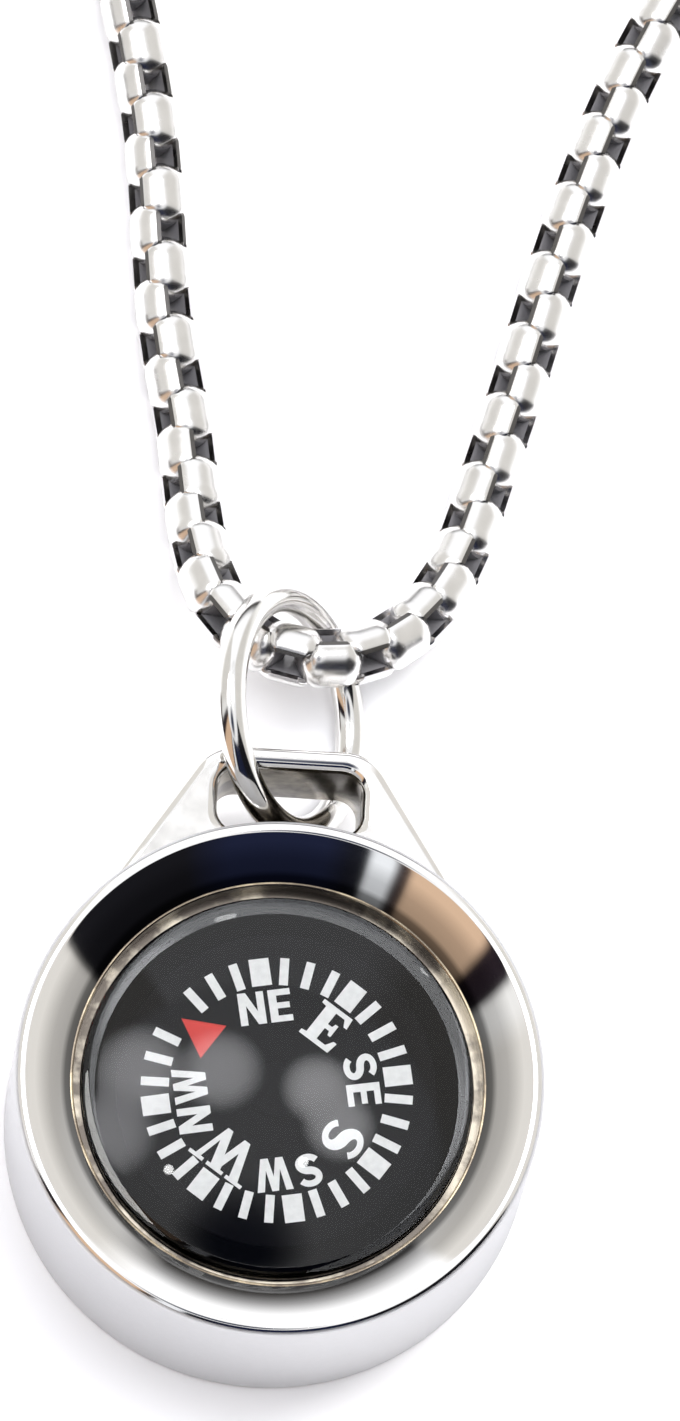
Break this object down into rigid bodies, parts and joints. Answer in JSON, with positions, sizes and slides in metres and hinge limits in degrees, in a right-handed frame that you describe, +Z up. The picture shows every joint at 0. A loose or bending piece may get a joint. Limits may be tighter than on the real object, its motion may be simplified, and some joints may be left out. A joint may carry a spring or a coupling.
{
  "type": "compass pendant on a necklace chain",
  "caption": "Round polished steel pendant holding a small liquid compass under a clear dome, with a slotted lug, a jump ring and a rounded box chain necklace, lying flat.",
  "frame": {"origin": "centre of the case's flat back, on the surface that the pendant lies on", "axes": "+Z up out of the dial, +Y from the case towards the lug and chain, +X to the right seen from above"},
  "size_m": [0.1183, 0.238, 0.012],
  "materials": {
    "case_steel": "polished stainless steel with a satin side",
    "ring_steel": "polished stainless steel wire",
    "chain_steel": "polished stainless steel",
    "cup_black": "gloss black",
    "card_black": "satin black with white print",
    "clear_dome": "clear, liquid filled"
  },
  "bodies": {
    "pendant": {"case": "case_steel", "compass_cup": "cup_black", "compass_dome": "clear_dome", "jump_ring": "ring_steel", "chain": "chain_steel", "clasp": "ring_steel", "clasp_ring": "ring_steel", "chain_end_ring": "ring_steel"},
    "card": {"compass_card": "card_black"}
  },
  "joints": [
    {"name": "card_spin", "type": "hinge", "parent": "pendant", "child": "card", "pos_m": [0, 0, 0.0078], "axis": [0, 0, 1], "continuous": true}
  ]
}
